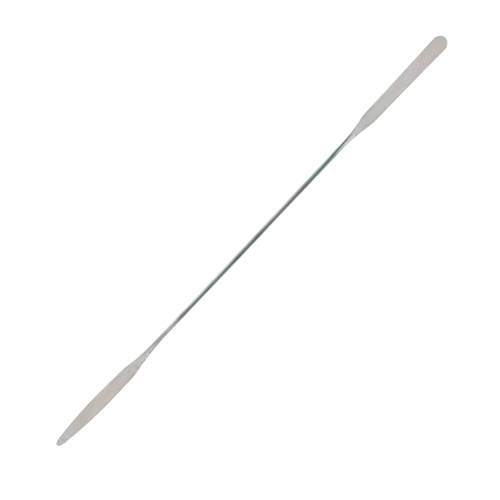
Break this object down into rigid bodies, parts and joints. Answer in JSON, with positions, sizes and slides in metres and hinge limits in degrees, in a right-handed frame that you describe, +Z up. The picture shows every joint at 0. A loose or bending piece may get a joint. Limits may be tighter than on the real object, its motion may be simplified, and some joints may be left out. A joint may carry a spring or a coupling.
{
  "type": "lab spatula",
  "caption": "Slim lab spatula forged from round wire, with a flat round-ended blade at one end and a tapered blade with a bent-up tip at the other, for small amounts of powder.",
  "frame": {"origin": "on the bench, midway between the two ends, below the shank's middle line", "axes": "+X along the shank towards the round blade, +Z up and square to the flats, on the side that the tip bends towards"},
  "size_m": [0.2032, 0.0058, 0.0021],
  "materials": {
    "steel": "satin on the flats with fine lengthwise polishing lines, brighter on the drawn shank"
  },
  "bodies": {
    "root": {"spatula": "steel"}
  },
  "joints": []
}
